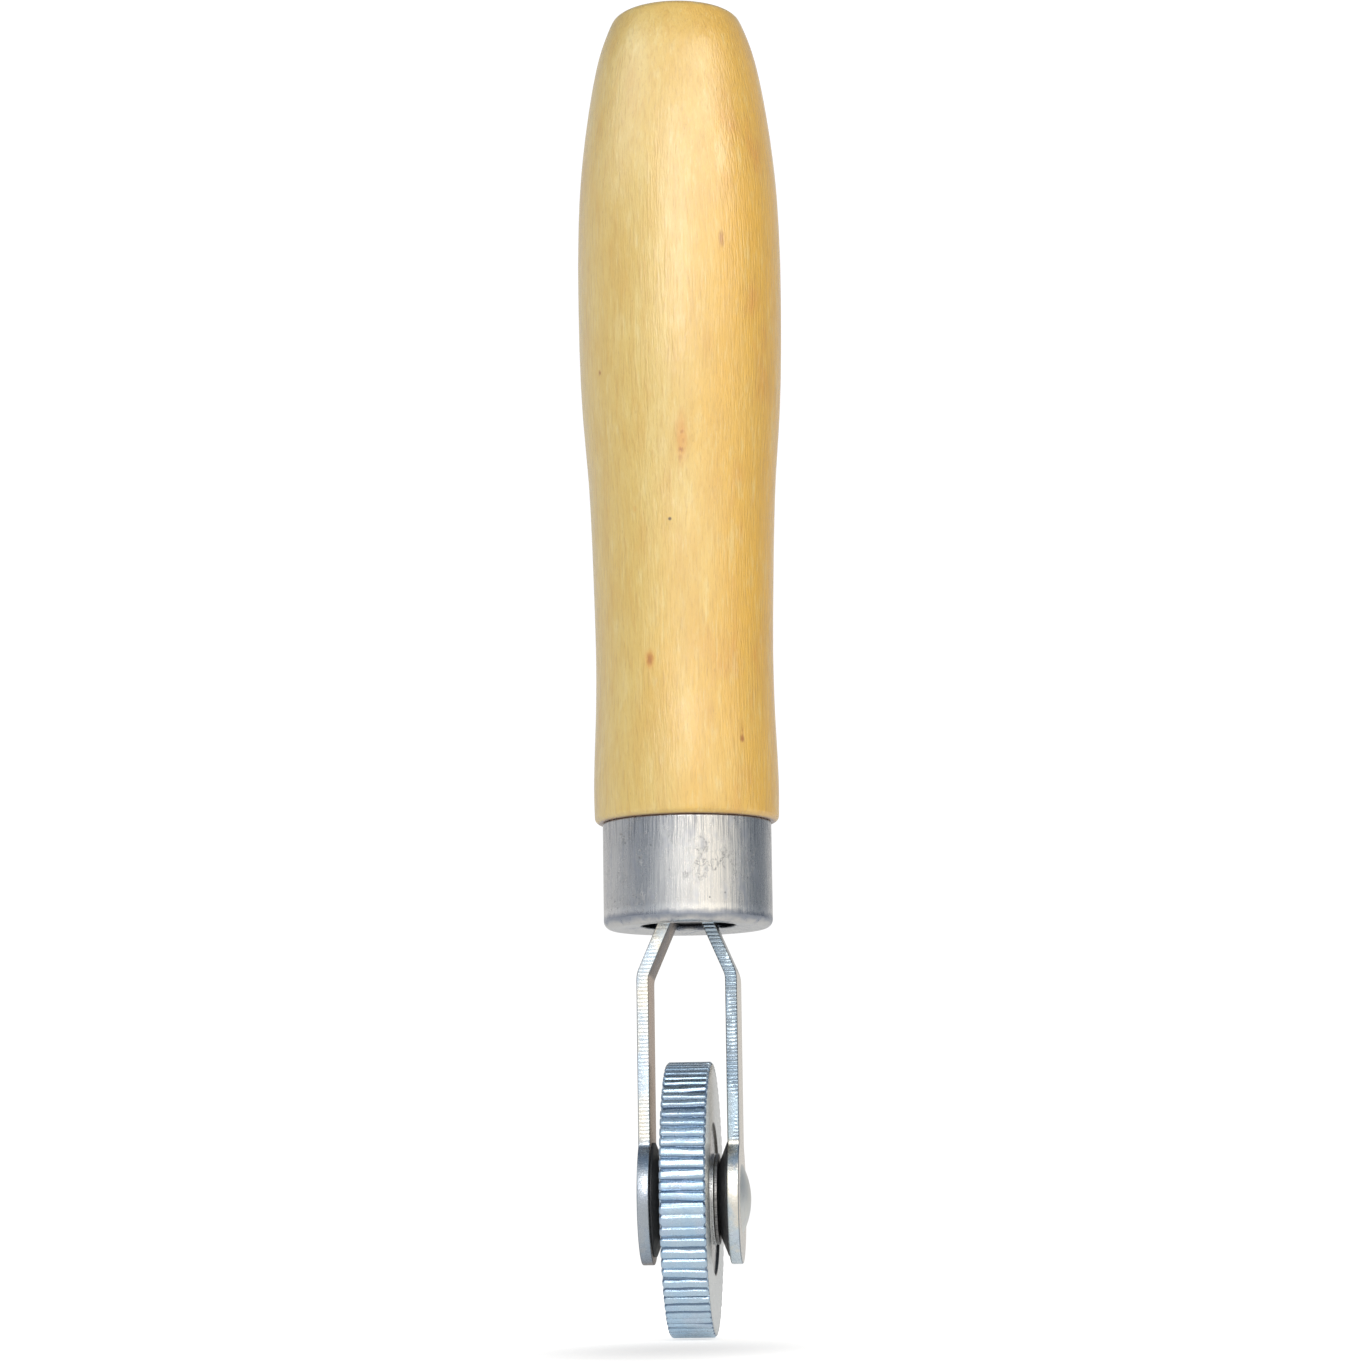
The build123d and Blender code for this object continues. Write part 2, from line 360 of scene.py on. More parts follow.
def handle_look():
    """Pale yellow lacquered wood: fine upright fibres, honey and orange drifts, a few flecks, a
    painted sheen at -X and painted shade over the ferrule.
    """
    low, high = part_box("handle")
    w = Look("handle_wood")
    drift = w.noise(w.mm, (0.05, 0.05, 0.02), detail=2, colour=True)
    drift = w.vector("SCALE", w.vector("SUBTRACT", drift, (0.5, 0.5, 0.5)), scale=3.0)
    grain = w.vector("ADD", w.mm, drift)
    place = w.parts(w.mm)
    broad = w.noise(w.mm, (0.11, 0.11, 0.022), detail=3, rough=0.55)
    cloud = w.noise(w.mm, (0.16, 0.16, 0.07), detail=5, rough=0.62)
    mottle = w.noise(w.mm, (0.55, 0.55, 0.16), detail=5, rough=0.62)
    band = w.noise(grain, (0.8, 0.8, 0.03), detail=4, rough=0.6)
    fibre = w.noise(grain, (3.2, 3.2, 0.26), detail=4, rough=0.62)
    thread = w.noise(grain, (8.0, 8.0, 0.8), detail=3, rough=0.6)
    # painted sheen: the wood is painted paler and greyer at -X, where the lacquer's reflection
    # pales it, and deeper honey with orange patches towards +X
    wander = 26.0  # millimetres by which the change of tone moves about
    painted_sheen_across = w.math("ADD", place[0], w.math("MULTIPLY_ADD", broad, wander, -wander / 2))
    colour = w.mix(w.remap(painted_sheen_across, -7.0, 13.0), rgb(236, 204, 116), rgb(244, 188, 64))
    colour = w.mix(w.remap(cloud, 0.40, 0.66, 0.0, 0.40), colour, rgb(226, 183, 80))
    patch = w.times(w.remap(cloud, 0.52, 0.70, 0.0, 0.55), w.remap(painted_sheen_across, 0.0, 11.0))
    colour = w.mix(patch, colour, rgb(232, 152, 58))
    colour = w.mix(w.remap(mottle, 0.50, 0.70, 0.0, 0.34), colour, rgb(224, 172, 74))
    colour = w.mix(w.remap(mottle, 0.48, 0.30, 0.0, 0.40), colour, rgb(247, 224, 152))
    colour = w.mix(w.remap(band, 0.42, 0.70, 0.0, 0.20), colour, rgb(218, 170, 78))
    colour = w.mix(w.remap(fibre, 0.50, 0.72, 0.0, 0.38), colour, rgb(204, 154, 68))
    colour = w.mix(w.remap(fibre, 0.46, 0.28, 0.0, 0.34), colour, rgb(249, 228, 158))
    colour = w.mix(w.remap(thread, 0.54, 0.72, 0.0, 0.28), colour, rgb(194, 144, 66))
    # short pores, in places
    pore = w.dots(grain, (2.2, 2.2, 0.55))
    lively = w.noise(w.mm, (0.35, 0.35, 0.10), detail=2)
    pores = w.times(w.remap(pore, 0.05, 0.17, 1.0, 0.0), w.remap(lively, 0.50, 0.66))
    colour = w.mix(w.times(pores, 0.34), colour, rgb(170, 120, 64))
    # flecks: share of the height, degrees from +X, half width and length in mm, strength, tone
    orange, brown = rgb(226, 142, 30), rgb(172, 94, 14)
    flecks = [
        (0.500, 274.0, 0.90, 4.2, 0.55, orange),
        (0.480, 273.0, 0.36, 0.8, 0.85, brown),
        (0.490, 273.6, 0.44, 0.4, 0.70, brown),
        (0.499, 275.0, 0.40, 0.5, 0.75, brown),
        (0.509, 274.2, 0.40, 0.4, 0.65, brown),
        (0.268, 251.7, 0.70, 1.4, 0.60, orange),
        (0.268, 251.7, 0.45, 0.9, 0.62, brown),
        (0.198, 311.5, 0.24, 2.2, 0.62, brown),
        (0.184, 311.0, 0.40, 0.6, 0.80, brown),
        (0.720, 298.5, 0.42, 1.3, 0.60, brown),
        (0.583, 222.0, 0.28, 0.44, 0.95, brown),
        (0.430, 244.0, 0.30, 0.6, 0.40, orange),
        (0.300, 100.0, 0.50, 2.2, 0.50, brown),
        (0.700, 60.0, 0.40, 1.6, 0.50, brown),
        (0.550, 150.0, 0.35, 1.2, 0.45, brown),
        (0.800, 195.0, 0.40, 1.8, 0.40, brown),
    ]

    def point(share, turn, radius):
        """Place in millimetres, at a share of the height, degrees from +X and a radius."""
        angle = math.radians(turn)
        height = (low.z + (high.z - low.z) * share) / MM
        return (radius * math.cos(angle), radius * math.sin(angle), height)

    outline, _ = half_section("handle", "Z")
    ragged = w.noise(w.mm, (2.6, 2.6, 1.1), detail=3, colour=True)
    ragged = w.vector("SCALE", w.vector("SUBTRACT", ragged, (0.5, 0.5, 0.5)), scale=0.5)
    rough_place = w.vector("ADD", w.mm, ragged)
    for share, turn, wide, tall, strength, tone in flecks:
        height = low.z + (high.z - low.z) * share
        outer = max(r for r, h in outline if abs(h - height) < 8 * MM) / MM
        offset = w.vector("SUBTRACT", rough_place, point(share, turn, outer))
        away = w.vector("LENGTH", w.vector("DIVIDE", offset, (wide, wide * 1.6, tall)))
        colour = w.mix(w.remap(away, 0.3, 1.35, strength, 0.0), colour, tone)
    # one pinhole a little under half way up
    pinhole = point(0.4165, 266.3, 13.0)
    away = w.vector("LENGTH", w.vector("SUBTRACT", w.mm, pinhole))
    colour = w.mix(w.remap(away, 0.12, 0.36, 0.9, 0.0), colour, rgb(70, 40, 8))
    # painted shade: the crease over the ferrule is painted dark brown for the shadow in the gap,
    # and the wood under it near black for the shadow it lies in
    outside = w.math("ADD", w.times(place[0], place[0]), w.times(place[1], place[1]))
    outside = w.math("SQRT", outside)
    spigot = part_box("ferrule")[1].z / MM
    low_down = w.remap(place[2], spigot, spigot + 0.35, 1.0, 0.0)
    crease_shadow = w.times(w.remap(outside, 12.2, 12.8, 1.0, 0.0), low_down)
    colour = w.mix(crease_shadow, colour, rgb(140, 96, 54))
    # painted shadow: the wood under the crease, painted near black
    low_down = w.remap(place[2], spigot, spigot + 0.3, 1.0, 0.0)
    inner = w.times(w.remap(outside, 11.3, 12.0, 1.0, 0.0), low_down)
    colour = w.mix(inner, colour, rgb(20, 17, 15))
    # lacquer over slightly raised fibres
    surface = w.bump(thread, 0.05)
    surface = w.bump(fibre, 0.16, surface)
    film = w.bump(w.noise(w.mm, (0.34, 0.34, 0.16), detail=4), 0.14)
    film = w.bump(fibre, 0.08, film)
    film = w.bump(thread, 0.012, film)
    w.finish(
        Base_Color=colour,
        Roughness=w.remap(cloud, 0.3, 0.7, 0.44, 0.58),
        Normal=surface,
        Coat_Weight=1.0,
        Coat_Roughness=0.20,
        Coat_IOR=1.92,
        Coat_Normal=film,
        Specular_IOR_Level=0.4,
    )


def ferrule_look():
    """Drawn metal: axial streaks from the open end, wandering scratches, a few pits, and a painted
    highlight and shade on the rounded corner.
    """
    low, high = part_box("ferrule")
    m = Look("ferrule_metal")
    height = m.parts(m.mm)[2]
    top, bottom = high.z / MM, low.z / MM
    streak = m.noise(m.mm, (3.6, 3.6, 0.10), detail=4, rough=0.6)
    fine = m.noise(m.mm, (11.0, 11.0, 0.30), detail=3, rough=0.6)
    cloud = m.noise(m.mm, (0.55, 0.55, 0.30), detail=5, rough=0.6)
    ragged = m.math("MULTIPLY_ADD", streak, 9.0, top - 10.5)
    upper = m.remap(m.math("SUBTRACT", height, ragged), 0.0, 3.5)
    stain = m.remap(cloud, 0.50, 0.70, 0.0, 0.30)
    colour = m.mix(stain, rgb(216, 214, 210), rgb(160, 168, 186))
    marks = m.times(m.remap(streak, 0.46, 0.66), m.math("MULTIPLY_ADD", upper, 0.40, 0.16))
    colour = m.mix(marks, colour, rgb(120, 124, 134))
    marks = m.times(m.remap(fine, 0.50, 0.66), m.math("MULTIPLY_ADD", upper, 0.36, 0.14))
    colour = m.mix(marks, colour, rgb(104, 108, 118))
    # painted highlight and shade: the rounded corner is painted bright above, and darker and bluish
    # below
    corner = m.math("ADD", height, m.math("MULTIPLY_ADD", cloud, 1.6, -0.8))
    corner_painted_highlight = m.band(corner, bottom + 1.5, bottom + 1.9, bottom + 2.2, bottom + 2.9)
    colour = m.mix(m.times(corner_painted_highlight, 0.55), colour, rgb(236, 234, 230))
    corner_painted_shade = m.band(corner, bottom + 0.2, bottom + 1.0, bottom + 1.1, bottom + 2.0)
    colour = m.mix(m.times(corner_painted_shade, 0.70), colour, rgb(136, 144, 160))
    # thin contour lines of a noise field wander like scratches
    field = m.noise(m.mm, (0.34, 0.34, 0.24), detail=5, rough=0.72)
    line = m.remap(m.math("ABSOLUTE", m.math("SUBTRACT", field, 0.5)), 0.0, 0.007, 1.0, 0.0)
    patch = m.remap(m.noise(m.mm, (0.17, 0.17, 0.15), detail=2), 0.54, 0.64)
    scratch = m.times(line, patch)
    colour = m.mix(m.times(scratch, 0.75), colour, rgb(86, 86, 94))
    pits = m.remap(m.dots(m.mm, (0.55, 0.55, 0.55)), 0.04, 0.10, 0.6, 0.0)
    colour = m.mix(pits, colour, rgb(84, 84, 90))
    relief = m.bump(streak, 0.045)
    relief = m.bump(fine, 0.020, relief)
    relief = m.bump(m.noise(m.mm, (0.42, 0.42, 0.14), detail=3), 0.08, relief)
    relief = m.bump(m.times(scratch, -1.0), 0.03, relief)
    worn = m.remap(height, bottom + 1.0, bottom + 3.0, 0.24, 0.27)
    m.finish(
        Base_Color=colour,
        Metallic=1.0,
        Roughness=m.math("ADD", worn, m.times(stain, 0.20)),
        Normal=relief,
    )


def zinc_look(slot, blue, warm, dark, rough, cloudy, grit=0.035, scuffs=0.02):
    """Bright zinc plating: bluish, with faint warm and violet clouds and fine scratches.

    Returns the look, its colour, gloss and relief, for the part's own marks to be added.
    """
    m = Look(slot)
    tint = m.noise(m.mm, (0.20, 0.20, 0.13), detail=4, rough=0.6)
    colour = m.mix(m.remap(tint, 0.42, 0.58, 0.0, cloudy), blue, warm)
    violet = m.noise(m.mm, (0.35, 0.35, 0.22), detail=4)
    colour = m.mix(m.remap(violet, 0.52, 0.70, 0.0, 0.36 * cloudy), colour, rgb(210, 202, 222))
    soot = m.noise(m.mm, (1.6, 1.6, 0.9), detail=6, rough=0.72)
    colour = m.mix(m.remap(soot, 0.54, 0.76, 0.0, 0.50 * cloudy), colour, dark)
    scuff = m.noise(m.mm, (0.5, 3.4, 3.4), detail=4, rough=0.65)
    pits = m.noise(m.mm, (2.4, 2.4, 2.4), detail=5, rough=0.7)
    relief = m.bump(scuff, scuffs, m.bump(pits, grit))
    gloss = m.remap(soot, 0.3, 0.7, rough, rough + 0.12)
    return m, colour, gloss, relief


def fork_look():
    """Sheared strip: shear marks on the cut edges, plain warm faces, painted shade on the rounded
    corners and on parts seen in shade.
    """
    dark = rgb(112, 128, 146)
    m, colour, gloss, relief = zinc_look(
        "fork_zinc", rgb(216, 229, 238), rgb(247, 240, 224), dark, rough=0.20, cloudy=0.9, grit=0.03
    )
    place = m.parts(m.mm)
    facing = m.parts(m.normal)
    face_turn = m.math("ABSOLUTE", facing[0])
    edge_turn = m.math("ABSOLUTE", facing[1])
    neck = (AXLE.z + EAR_RADIUS) / MM
    head_side = m.remap(place[0], -1.0, 1.0)
    colour = m.mix(m.times(m.remap(face_turn, 0.93, 0.985), 0.8), colour, rgb(232, 222, 211))
    # painted shade: the ear on the rivet's tail side is painted darker and bluer, as the face of it
    # that is seen lies in shade towards the wheel
    ear = m.remap(place[2], neck, neck - 2.0)
    tail_ear_painted_shade = m.times(ear, m.remap(place[0], 0.0, -2.0, 0.0, 0.75))
    colour = m.mix(tail_ear_painted_shade, colour, rgb(158, 172, 188))
    # painted shade: the rounded corners are painted dark, for the dark outline they show
    corner = m.band(face_turn, 0.30, 0.60, 0.93, 0.985)
    colour = m.mix(m.times(corner, 0.70), colour, rgb(96, 106, 118))
    # painted shade: the cut edges above the ears are painted darker and bluer on the rivet head's
    # side; shear marks lie across the same edges, strongest on that side
    on_edge = m.times(m.remap(edge_turn, 0.75, 0.92), m.remap(place[2], neck - 1.4, neck - 0.6))
    colour = m.mix(m.times(on_edge, head_side, 0.80), colour, rgb(170, 192, 208))
    pitch = 0.52  # millimetres
    jitter = m.noise(m.mm, (0.0, 0.0, 1.2), detail=2)
    phase = m.math("ADD", place[2], m.times(jitter, 0.30))
    wave = m.math("SINE", m.times(phase, 2 * math.pi / pitch))
    broken = m.remap(m.noise(m.mm, (0.5, 0.5, 0.12), detail=3), 0.36, 0.50)
    strength = m.math("MULTIPLY_ADD", head_side, 0.82, 0.18)
    marks = m.times(wave, on_edge, broken, strength)
    colour = m.mix(m.times(m.remap(marks, 0.0, 0.8), 0.55), colour, dark)
    # painted shade: the faces on the tail side, seen at a low angle, get a darker and warmer
    # reflection tint
    m.finish(
        Base_Color=colour,
        Metallic=1.0,
        Roughness=gloss,
        Normal=m.bump(marks, 0.05, relief),
        Specular_Tint=m.mix(head_side, rgb(205, 192, 182), rgb(255, 255, 252)),
    )


def wheel_look():
    """Bluish tread with painted shade in its grooves, side faces painted lighter and greyer as a
    painted reflection, and painted shade in the recess.
    """
    m, colour, gloss, relief = zinc_look(
        "wheel_zinc",
        rgb(190, 215, 235),
        rgb(208, 223, 232),
        rgb(98, 118, 144),
        rough=0.23,
        cloudy=0.45,
        grit=0.022,
        scuffs=0.040,
    )
    centre = (0.0, AXLE.y / MM, AXLE.z / MM)
    spokes = m.vector("MULTIPLY", m.vector("SUBTRACT", m.mm, centre), (0, 1, 1))
    radius = m.vector("LENGTH", spokes)
    rim = (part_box("wheel")[1].z - AXLE.z) / MM
    # painted shade: the floors of the grooves are painted dark blue
    groove = m.band(radius, rim - 0.54, rim - 0.44, rim - 0.32, rim - 0.15)
    colour = m.mix(m.times(groove, 0.80), colour, rgb(84, 104, 132))
    # turned side faces, painted lighter and greyer: a painted reflection
    lathe = m.noise(None, line=m.times(radius, 5.0), detail=2)
    faced = m.remap(m.math("ABSOLUTE", m.parts(m.normal)[0]), 0.8, 0.95)
    colour = m.mix(m.times(faced, 0.85), colour, rgb(230, 229, 222))
    # painted shade: the recess is painted a little darker than the face round it, and its wall dark
    # brown, for the shadow in it
    inside = m.remap(radius, RECESS_RADIUS + 0.4, RECESS_RADIUS + 0.1)
    colour = m.mix(m.times(inside, 0.8), colour, rgb(216, 213, 208))
    outer = m.remap(radius, RECESS_RADIUS - 0.6, RECESS_RADIUS - 0.3)
    recess_wall_shadow = m.times(inside, outer, m.remap(faced, 0.2, 0.8, 0.85, 0.0))
    colour = m.mix(recess_wall_shadow, colour, rgb(82, 76, 66))
    relief = m.bump(m.times(lathe, faced), 0.02, relief)
    m.finish(Base_Color=colour, Metallic=1.0, Roughness=gloss, Normal=relief)


def rivet_look():
    blue, warm, dark = rgb(230, 231, 226), rgb(234, 231, 220), rgb(150, 152, 152)
    m, colour, gloss, relief = zinc_look("rivet_zinc", blue, warm, dark, rough=0.36, cloudy=0.6)
    m.finish(Base_Color=colour, Metallic=1.0, Roughness=gloss, Normal=relief)


def plain_steel_look(slot, shade, rough):
    m = Look(slot)
    spin = m.noise(m.mm, (0.8, 6.0, 6.0), detail=4, rough=0.6)
    colour = m.mix(m.remap(spin, 0.35, 0.7), shade, rgb(96, 98, 102))
    m.finish(
        Base_Color=colour,
        Metallic=1.0,
        Roughness=m.remap(spin, 0.3, 0.7, rough, rough + 0.12),
        Normal=m.bump(spin, 0.02),
    )


def cone_look():
    """Black moulded plastic with a little dust."""
    m = Look("cone_plastic")
    skin = m.noise(m.mm, (4.0, 4.0, 4.0), detail=4, rough=0.6)
    dust = m.noise(m.mm, (0.9, 0.9, 0.9), detail=3)
    colour = m.mix(m.remap(dust, 0.5, 0.8, 0.0, 0.5), rgb(54, 56, 60), rgb(78, 81, 86))
    m.finish(
        Base_Color=colour,
        Roughness=m.remap(dust, 0.3, 0.7, 0.36, 0.52),
        Normal=m.bump(skin, 0.03),
        Specular_IOR_Level=0.5,
    )


handle_look()
ferrule_look()
fork_look()
wheel_look()
rivet_look()
cone_look()
plain_steel_look("washer_steel", rgb(184, 183, 181), 0.36)
plain_steel_look("sleeve_steel", rgb(176, 178, 182), 0.3)


# ------------------------------------------------------------------ pieces


def smoothed(outline, low, high, passes):
    """Levels the facets of an evenly divided outline between two heights."""
    out = outline.copy()
    free = (outline[:, 0] > 9 * MM) & (outline[:, 1] > low) & (outline[:, 1] < high)
    free[[0, -1]] = False
    inside = np.where(free)[0]
    for _ in range(passes):
        out[inside] = 0.25 * out[inside - 1] + 0.5 * out[inside] + 0.25 * out[inside + 1]
    return out


def build_handle():
    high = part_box("handle")[1]
    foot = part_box("ferrule")[1].z
    outline, closed = half_section("handle", "Z")
    outline = eased(outline, closed, 0.35 * MM, step=0.8 * MM)
    outline = smoothed(outline, foot + 1.5 * MM, high.z - 1.0 * MM, 12)

    def hand_turned(radius, height, turn):
        """Faint unevenness left by the lathe tool, only on the grip's outside and inwards."""
        outer = np.clip((radius - 11.4 * MM) / (1.2 * MM), 0, 1)
        wave = 0.020 * np.sin(height / (4.7 * MM) + 2.1 * np.sin(turn))
        bow = 0.018 * np.sin(2 * turn + height / (21 * MM))
        return radius + outer * (wave + bow - 0.038) * MM, height

    turned(
        "handle_grip", outline, closed, "Z", 256, "frame", ["handle"], "handle_wood", hand_turned
    )


def build_ferrule():
    outline, closed = half_section("ferrule", "Z")
    outline = eased(outline, closed, 0.25 * MM, step=0.8 * MM)
    turned("ferrule_cup", outline, closed, "Z", 192, "frame", ["ferrule"], "ferrule_metal")


def build_wheel():
    outline, closed = half_section("wheel", "X")
    outline = eased(outline, closed, 0.14 * MM, step=0.45 * MM)
    rim = outline[:, 0].max()
    side = (outline[outline[:, 0] > rim - 1.0 * MM, 1]).max()
    per_ridge = 14
    depth = 0.32 * MM
    burr = 0.13 * MM  # how far a ridge's end stands out past the grooves beside it
    crest_share, wall_share = 0.46, 0.44  # of half a pitch: flat crest, then the groove's wall
    crest_round = 0.22  # share of the depth by which the crest itself is rounded
    deep = np.clip(1 + 0.26 * RNG.standard_normal(RIDGES), 0.6, 1.25)
    lean = 0.06 * RNG.standard_normal(RIDGES)
    twist = 0.05 * RNG.standard_normal(RIDGES)
    wave = RNG.uniform(0, 2 * math.pi, RIDGES)

    def ridged(radius, height, turn):
        """Cuts the grooves, each a little uneven in place, depth and straightness."""
        place = turn / (2 * math.pi) * RIDGES
        nearest = np.rint(place)
        index = nearest.astype(int) % RIDGES
        along = height / side
        wobble = lean[index] + twist[index] * along + 0.02 * np.sin(5 * along + wave[index])
        # no wobble halfway between two ridges, so that their grooves meet
        free = np.clip(1 - 2 * np.abs(place - nearest), 0, 1)
        share = np.abs(place - nearest + wobble * np.minimum(1, 3 * free)) / 0.5
        s = np.clip((share - crest_share) / wall_share, 0, 1)
        groove = crest_round * np.clip(share, 0, 1) ** 2 + (1 - crest_round) * s * s * (3 - 2 * s)
        reach = np.clip((radius - (rim - 1.3 * MM)) / (1.1 * MM), 0, 1)
        cut = depth * groove * deep[index]
        inward = burr * groove * reach * np.clip(np.abs(along) * 4 - 3, 0, 1)
        return radius - cut * reach, height - np.sign(height) * inward

    segments = RIDGES * per_ridge
    turned("wheel_tread", outline, closed, "X", segments, "wheel", ["wheel"], "wheel_zinc", ridged)


def build_arm(side):
    """The CAD's own faces, merged where they are flat, with every sharp edge rounded over."""
    node = "fork_arm_" + side
    mesh = frame["nodes"][node].data.copy()
    piece = bpy.data.objects.new("fork_strip_" + side, mesh)
    bpy.context.scene.collection.objects.link(piece)
    bm = bmesh.new()
    bm.from_mesh(mesh)
    bmesh.ops.remove_doubles(bm, verts=bm.verts, dist=TINY)
    bmesh.ops.dissolve_limit(
        bm, angle_limit=math.radians(0.5), verts=bm.verts, edges=bm.edges, delimit={"NORMAL"}
    )
    inner = [e for e in bm.edges if len(e.link_faces) == 2]
    corners = [e for e in inner if e.calc_face_angle() > math.radians(40)]
    bmesh.ops.bevel(
        bm,
        geom=corners,
        offset=0.24 * MM,
        segments=4,
        profile=0.5,
        affect="EDGES",
        clamp_overlap=True,
    )
    bm.to_mesh(mesh)
    bm.free()
    mesh.polygons.foreach_set("use_smooth", [True] * len(mesh.polygons))
    mesh.set_sharp_from_angle(angle=math.radians(35))
    mounted(piece, "frame", [node], "fork_zinc")


def build_axle_parts():
    for node, slot, ease in [
        ("axle_rivet", "rivet_zinc", 0.12),
        ("spacer_sleeve", "sleeve_steel", 0.1),
        ("thrust_washer_left", "washer_steel", 0.08),
        ("thrust_washer_right", "washer_steel", 0.08),
        ("spacer_cone_left", "cone_plastic", 0.12),
        ("spacer_cone_right", "cone_plastic", 0.12),
    ]:
        outline, closed = half_section(node, "X")
        outline = eased(outline, closed, ease * MM, step=0.6 * MM)
        turned(node + "_turned", outline, closed, "X", 128, "frame", [node], slot)


build_handle()
build_ferrule()
build_wheel()
build_arm("left")
build_arm("right")
build_axle_parts()


# ------------------------------------------------- floor, light and camera


def build_floor():
    """Pale floor, lit up where it is seen so that it meets the white backdrop, with a painted
    shadow before the tool.
    """
    size = 3.0
    painted_shadow_centre, painted_shadow_reach = (0.002, -0.06, 0.0), (0.044, 0.14, 1.0)
    glow, seen_glow_in_painted_shadow, seen_glow = 0.26, 0.04, 0.74
    mesh = bpy.data.meshes.new("floor")
    corners = [(-size, -size, 0), (size, -size, 0), (size, size, 0), (-size, size, 0)]
    mesh.from_pydata(corners, [], [(0, 1, 2, 3)])
    floor = bpy.data.objects.new("floor", mesh)
    floor.location.z = cad_low.z - 0.0002
    bpy.context.scene.collection.objects.link(floor)
    material = bpy.data.materials.new("floor_paint")
    material.use_nodes = True
    nodes, links = material.node_tree.nodes, material.node_tree.links
    shader = nodes["Principled BSDF"]
    shader.inputs["Base Color"].default_value = (0.80, 0.78, 0.75, 1)
    shader.inputs["Roughness"].default_value = 0.9
    shader.inputs["Specular IOR Level"].default_value = 0.0
    shader.inputs["Emission Color"].default_value = (1.0, 0.985, 0.965, 1)
    # painted shadow: what is seen glows less in a long spot before the tool, which paints a soft
    # shadow there
    where = nodes.new("ShaderNodeMapping")
    where.vector_type = "TEXTURE"
    where.inputs["Location"].default_value = painted_shadow_centre
    where.inputs["Scale"].default_value = painted_shadow_reach
    links.new(nodes.new("ShaderNodeTexCoord").outputs["Object"], where.inputs["Vector"])
    away = nodes.new("ShaderNodeVectorMath")
    away.operation = "LENGTH"
    links.new(where.outputs[0], away.inputs[0])
    level = nodes.new("ShaderNodeMapRange")
    level.interpolation_type = "SMOOTHSTEP"
    links.new(away.outputs["Value"], level.inputs["Value"])
    level.inputs["To Min"].default_value = seen_glow_in_painted_shadow
    level.inputs["To Max"].default_value = seen_glow
    path = nodes.new("ShaderNodeLightPath")
    total = nodes.new("ShaderNodeMath")
    total.operation = "MULTIPLY_ADD"
    links.new(path.outputs["Is Camera Ray"], total.inputs[0])
    links.new(level.outputs[0], total.inputs[1])
    total.inputs[2].default_value = glow
    links.new(total.outputs[0], shader.inputs["Emission Strength"])
    mesh.materials.append(material)


def add_light(name, azimuth, elevation, distance, width, height, power, colour):
    """Softbox aimed at the middle of the tool. Degrees from -Y and the floor, metres, watts."""
    light = bpy.data.lights.new(name, "AREA")
    light.shape = "RECTANGLE"
    light.size, light.size_y = width, height
    light.energy = power
    light.color = colour
    lamp = bpy.data.objects.new(name, light)
    a, e = math.radians(azimuth), math.radians(elevation)
    back = Vector((math.sin(a) * math.cos(e), -math.cos(a) * math.cos(e), math.sin(e)))
    target = (cad_low + cad_high) / 2
    lamp.location = target + back * distance
    lamp.rotation_mode = "QUATERNION"
    lamp.rotation_quaternion = back.to_track_quat("Z", "Y")
    bpy.context.scene.collection.objects.link(lamp)


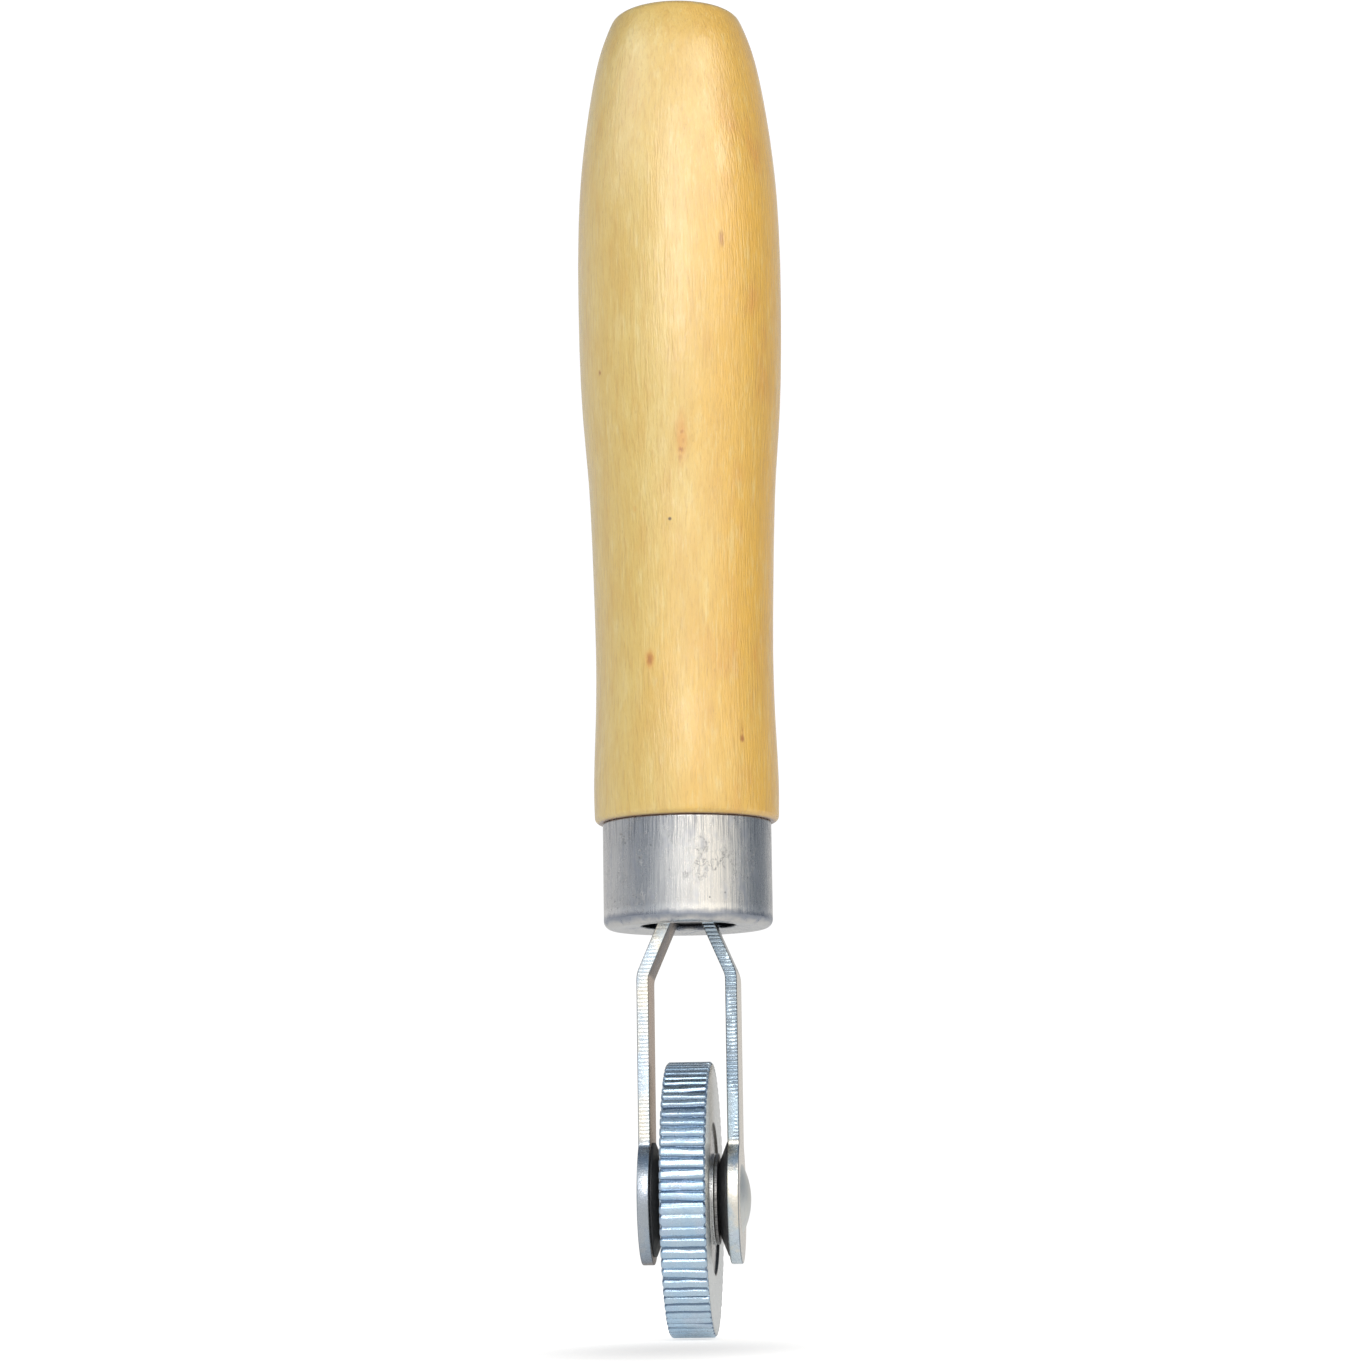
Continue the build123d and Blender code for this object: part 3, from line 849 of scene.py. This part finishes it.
def build_world():
    """Studio round the tool: bright in front, dark flags at the sides, dim overhead.

    The metal reflects it and the wood is lit by it. What the camera sees is plain white.
    """
    world = bpy.data.worlds.new("studio")
    bpy.context.scene.world = world
    world.use_nodes = True
    tree = world.node_tree
    nodes, links = tree.nodes, tree.links

    def maths(operation, *values):
        node = nodes.new("ShaderNodeMath")
        node.operation = operation
        for socket, value in zip(node.inputs, values):
            if isinstance(value, bpy.types.NodeSocket):
                links.new(value, socket)
            else:
                socket.default_value = value
        return node.outputs[0]

    def ramp(value, stops):
        node = nodes.new("ShaderNodeValToRGB")
        node.color_ramp.interpolation = "EASE"
        while len(node.color_ramp.elements) < len(stops):
            node.color_ramp.elements.new(0.5)
        for element, (place, colour) in zip(node.color_ramp.elements, stops):
            element.position = place
            element.color = (*colour, 1)
        links.new(value, node.inputs[0])
        return node.outputs[0]

    where = nodes.new("ShaderNodeTexCoord")
    parts = nodes.new("ShaderNodeSeparateXYZ")
    links.new(where.outputs["Generated"], parts.inputs[0])
    turn = maths("ARCTAN2", parts.outputs[0], maths("MULTIPLY", parts.outputs[1], -1.0))
    share = maths("MULTIPLY_ADD", turn, 1 / (2 * math.pi), 0.5)
    # degrees from -Y towards +X, and colour
    walls = [
        (-180, (0.50, 0.48, 0.46)),
        (-150, (0.46, 0.46, 0.47)),
        (-110, (0.40, 0.41, 0.43)),
        (-84, (0.28, 0.30, 0.34)),
        (-56, (0.09, 0.12, 0.17)),
        (-30, (0.48, 0.51, 0.56)),
        (2, (0.76, 0.76, 0.76)),
        (34, (1.00, 0.95, 0.86)),
        (58, (0.70, 0.68, 0.64)),
        (84, (0.20, 0.23, 0.27)),
        (112, (0.07, 0.09, 0.12)),
        (138, (0.22, 0.24, 0.27)),
        (160, (0.48, 0.48, 0.48)),
        (180, (0.50, 0.48, 0.46)),
    ]
    around = ramp(share, [((azimuth + 180) / 360, colour) for azimuth, colour in walls])
    over = maths("ARCTAN2", parts.outputs[2], maths("MULTIPLY", parts.outputs[1], -1.0))
    # degrees from the front horizon over the zenith to the back one, and colour
    ceiling = [
        (0, (0.84, 0.84, 0.84)),
        (42, (0.78, 0.79, 0.80)),
        (62, (0.19, 0.23, 0.28)),
        (84, (0.10, 0.13, 0.17)),
        (125, (0.08, 0.11, 0.16)),
        (155, (0.22, 0.23, 0.25)),
        (180, (0.45, 0.45, 0.45)),
    ]
    over = maths("MULTIPLY", over, 1 / math.pi)
    above = ramp(over, [(angle / 180, colour) for angle, colour in ceiling])
    # the walls give way to the ceiling between these heights of the view direction
    steep = nodes.new("ShaderNodeMapRange")
    steep.interpolation_type = "SMOOTHSTEP"
    links.new(parts.outputs[2], steep.inputs["Value"])
    steep.inputs["From Min"].default_value = 0.28
    steep.inputs["From Max"].default_value = 0.60
    blend = nodes.new("ShaderNodeMix")
    blend.data_type = "RGBA"
    links.new(steep.outputs[0], blend.inputs[0])
    links.new(around, blend.inputs[6])
    links.new(above, blend.inputs[7])
    shade = nodes["Background"]
    links.new(blend.outputs[2], shade.inputs["Color"])
    shade.inputs["Strength"].default_value = 1.5
    seen = nodes.new("ShaderNodeBackground")
    seen.inputs["Color"].default_value = (1, 1, 1, 1)
    seen.inputs["Strength"].default_value = 1.05
    path = nodes.new("ShaderNodeLightPath")
    choose = nodes.new("ShaderNodeMixShader")
    links.new(path.outputs["Is Camera Ray"], choose.inputs[0])
    links.new(shade.outputs[0], choose.inputs[1])
    links.new(seen.outputs[0], choose.inputs[2])
    links.new(choose.outputs[0], nodes["World Output"].inputs["Surface"])


def build_camera():
    """Long lens low in front of the tool, tilted up at its middle and rolled a little."""
    azimuth, distance, height = 4.2, 0.523, 0.0106  # degrees from -Y towards +X, metres
    tilt, aside, roll = 8.85, 0.07, 0.80  # degrees
    camera = bpy.data.cameras.new("camera")
    camera.lens = 98.53
    camera.sensor_width = 36.0
    camera.clip_start, camera.clip_end = 0.01, 50
    eye = bpy.data.objects.new("camera", camera)
    a = math.radians(azimuth)
    place = Vector((math.sin(a) * distance, -math.cos(a) * distance, height))
    heading = Matrix.Rotation(math.radians(azimuth + aside), 4, "Z")
    pitch = Matrix.Rotation(math.radians(90 + tilt), 4, "X")
    spin = Matrix.Rotation(math.radians(-roll), 4, "Z")
    eye.matrix_world = Matrix.Translation(place) @ heading @ pitch @ spin
    bpy.context.scene.collection.objects.link(eye)
    bpy.context.scene.camera = eye


build_floor()
build_world()
build_camera()
add_light("key_softbox", 2, 24, 1.1, 0.25, 0.46, 1.8, (1.0, 0.98, 0.97))
add_light("side_softbox", 50, 34, 1.3, 0.7, 0.7, 2.9, (1.0, 0.95, 0.88))
add_light("fill_softbox", -66, 38, 1.2, 0.6, 0.6, 1.5, (1.0, 0.99, 0.97))
bpy.context.scene.view_settings.view_transform = "Standard"
